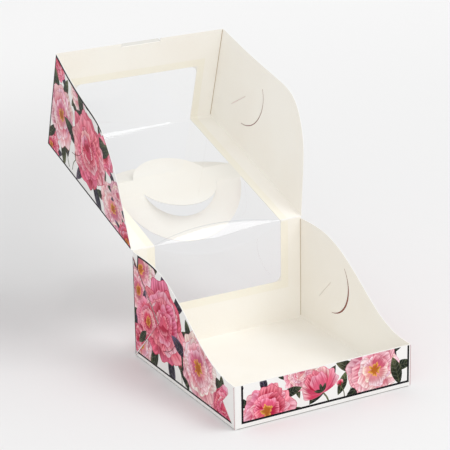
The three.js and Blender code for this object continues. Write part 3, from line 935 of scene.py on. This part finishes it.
def make_shadow_line(name, body, start, end, width, depth_direction, material):
    """A thin dark bar of painted shade for a gap, from one point to another in millimetres."""
    along = (end - start).normalized()
    side = along.cross(depth_direction).normalized() * width / 2
    deep = depth_direction.normalized() * GAP_DEPTH
    points = [start - side, start + side, end + side, end - side]
    points += [point + deep for point in points]
    faces = [(0, 1, 2, 3), (7, 6, 5, 4), (0, 4, 5, 1), (1, 5, 6, 2), (2, 6, 7, 3), (3, 7, 4, 0)]
    line = add_mesh(name, [point * MM for point in points], faces, material)
    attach(line, body)


def make_corner_gap_shades():
    """Painted shade: dark bars for the shadowed gaps inside the tray's two far corners and the lid's two
    front corners.
    """
    dark = plain_material("corner_gap_shade", (0.56, 0.45, 0.33, 1), 0.8)
    off_fold = 0.32
    foot, top = 3, BACK_HEIGHT - 2
    y = HALF_DEPTH - BOARD - off_fold
    along = LID_INNER_DEPTH - off_fold
    for name, side in (("left", -1), ("right", 1)):
        x = side * (HALF_WIDTH - BOARD - off_fold)
        make_shadow_line("gap_shade_tray_" + name, "base", Vector((x, y, foot)), Vector((x, y, top)), 0.45,
                         Vector((side, 1, 0)), dark)
    for name, side in (("left", -1), ("right", 1)):
        x = side * (LID_HALF - BOARD - off_fold)
        low, high = lid_place(x, along, 2) / MM, lid_place(x, along, LID_RIM - 0.8) / MM
        make_shadow_line("gap_shade_lid_" + name, "lid", low, high, 0.5, Vector((side, *ALONG_LID[1:])), dark)


# The gap between the bottom's two plies, which a dark bar of painted shade stands for: the slope at which it
# lies on the round folds, how far its dark bar stands proud of them, and its width
PLY_SLOPE = (0.8, 0.6)
PLY_PROUD = 0.02
PLY_WIDTH = 0.4


def make_ply_gap_shades():
    """Painted shade: the fine dark line between the bottom's two plies, along the folds of the front and side
    walls.
    """
    dark = plain_material("ply_gap_shade", (0.26, 0.24, 0.22, 1), 0.8)
    inset, height = (FOLD_RADIUS * (1 - slope) - PLY_PROUD * slope for slope in PLY_SLOPE)
    end = 2
    x, y = HALF_WIDTH - end, inset - HALF_DEPTH
    make_shadow_line("ply_gap_shade_front", "base", Vector((-x, y, height)), Vector((x, y, height)), PLY_WIDTH,
                     Vector((0, *PLY_SLOPE)), dark)
    y = HALF_DEPTH - end
    for name, side in (("ply_gap_shade_left", -1), ("ply_gap_shade_right", 1)):
        x = side * (HALF_WIDTH - inset)
        make_shadow_line(name, "base", Vector((x, -y, height)), Vector((x, y, height)), PLY_WIDTH,
                         Vector((-side * PLY_SLOPE[0], 0, PLY_SLOPE[1])), dark)


def make_cut_gap_shades():
    """Painted shade: a dark red crescent where each half-round cut stands a little open, on the walls' inner
    faces.
    """
    dark = plain_material("cut_gap_shade", (0.27, 0.075, 0.05, 1), 0.8)
    reach = HALF_WIDTH - BOARD - 0.03
    lid_reach = LID_HALF - BOARD - 0.06
    behind, closed = 0.09, 0.3
    for name, body, side, opened in (("cut_shade_tray_left", "base", -1, 1.3), ("cut_shade_tray_right", "base", 1, 1.3),
                                     ("cut_shade_lid_left", "lid", -1, 0.15), ("cut_shade_lid_right", "lid", 1, 0.15)):
        inner, outer = [], []
        for k, (along, up) in enumerate(lock_arc()):
            turn = math.atan2(up - ARC_UP, along - ARC_ALONG)
            gap = closed + opened * math.sin(math.pi * k / ARC_STEPS) ** 1.5
            for wide, rim in ((-behind, inner), (gap, outer)):
                u, v = along + wide * math.cos(turn), up + wide * math.sin(turn)
                if body == "base":
                    rim.append(Vector((side * reach, HALF_DEPTH - u, v)) * MM)
                else:
                    u, v = LID_DEPTH - u, LID_SKIN + v
                    rim.append(lid_place(side * (lid_reach + splay(u, v)), u, v))
        count = len(inner)
        faces = [(k, k + 1, count + k + 1, count + k) for k in range(count - 1)]
        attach(add_mesh(name, inner + outer, faces, dark), body)


# The floor's own colour, its painted shadow beside the box and its painted light far behind it
FLOOR_NEAR = (0.82, 0.82, 0.82, 1)
FLOOR_SHADED = (0.67, 0.67, 0.67, 1)
FLOOR_FAR_LIT = (0.95, 0.95, 0.95, 1)
FLOOR_HALF = 6

# Square lamps: name, direction, distance and size in metres, and radiance
LAMPS = [("key", (0.45, -0.33, 0.83), 3.2, 1.85, 3.0), ("fill", (-0.35, -0.85, 0.45), 3.2, 2.0, 1.25)]
LAMP_AIM = Vector((0, 0.08, 0.1))
SKY = 0.80


def floor_material():
    """A dull pale floor, with painted shadow that makes it a little darker beside the box on the left and
    painted light that makes it lighter far behind it.
    """
    material, tree, shader = new_material("floor")
    make = Maker(tree)
    place = make.node("ShaderNodeTexCoord").outputs["Object"]
    # Painted light: lighter far behind the box
    far = make.ramp(make.parts(place)["Y"], 0.2, 1.4, 0.0, 1.0)
    far = make.plus(far, make.times(make.noise(place, 2), 0.05))
    # Painted shadow: darker beside the box on the left, in a band across the view
    rightward = make.dot(place, (math.cos(AZIMUTH), math.sin(AZIMUTH), 0.0))
    away = make.dot(place, (-math.sin(AZIMUTH), math.cos(AZIMUTH), 0.0))
    band = make.times(make.ramp(away, -0.12, 0.25, 0.0, 1.0), make.ramp(away, 0.55, 1.15, 1.0, 0.0))
    left = make.times(make.ramp(rightward, -0.09, -0.25, 0.0, 1.0), band)
    make.link(make.mix(far, make.mix(left, FLOOR_NEAR, FLOOR_SHADED), FLOOR_FAR_LIT), shader.inputs["Base Color"])
    shader.inputs["Roughness"].default_value = 0.7
    shader.inputs["Specular IOR Level"].default_value = 0.1
    return material


def make_floor():
    """The square floor, which isn't part of the box."""
    corners = [(-FLOOR_HALF, -FLOOR_HALF, 0), (FLOOR_HALF, -FLOOR_HALF, 0),
               (FLOOR_HALF, FLOOR_HALF, 0), (-FLOOR_HALF, FLOOR_HALF, 0)]
    add_mesh("floor", corners, [(0, 1, 2, 3)], floor_material())


def make_light():
    """A large soft lamp above the right front, a weaker one at the front and an even sky."""
    for name, direction, distance, size, radiance in LAMPS:
        data = bpy.data.lights.new(name, "AREA")
        data.shape = "SQUARE"
        data.size = size
        data.energy = radiance * math.pi * size * size
        lamp = bpy.data.objects.new(name, data)
        toward = Vector(direction).normalized()
        lamp.location = LAMP_AIM + toward * distance
        lamp.rotation_mode = "QUATERNION"
        lamp.rotation_quaternion = toward.to_track_quat("Z", "Y")
        bpy.context.scene.collection.objects.link(lamp)
    world = bpy.data.worlds.new("sky")
    world.use_nodes = True
    world.node_tree.nodes["Background"].inputs["Color"].default_value = (1, 1, 1, 1)
    world.node_tree.nodes["Background"].inputs["Strength"].default_value = SKY
    bpy.context.scene.world = world


def dress(node, material):
    """Gives a solid of the frame a material in each of its slots."""
    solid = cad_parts[node]
    if not solid.material_slots:
        solid.data.materials.append(material)
    for slot in solid.material_slots:
        slot.material = material


make_camera()
INK = ink_material()
# Points inside the tray and the lid, which the board's plain side faces
TRAY_MIDDLE = (0, 0, 40)
LID_MIDDLE = tuple(lid_place(0, DISC_CENTRE, 45) / MM)
tray_board = board_material("tray_board", TRAY_MIDDLE, True)
dress("carton_base", tray_board)
dress("carton_lid", board_material("lid_board", LID_MIDDLE, False))

print_tray_front()
print_tray_side("print_tray_left", -1, 21)
print_tray_side("print_tray_right", 1, 22)
print_ear("print_ear_left", -1, 25)
print_ear("print_ear_right", 1, 26)
print_tray_back()
print_lid_side("print_lid_left", -1, 41)
print_lid_side("print_lid_right", 1, 42)
print_lid_front()
print_lid_top()
print_handle_disc()
make_film()
make_crease("crease_left", -HALF_WIDTH, -WINDOW_HALF, tray_board)
make_crease("crease_right", WINDOW_HALF, HALF_WIDTH, tray_board)
make_corner_gap_shades()
make_cut_gap_shades()
make_ply_gap_shades()
make_floor()
make_light()

bpy.context.scene.view_settings.view_transform = "Standard"
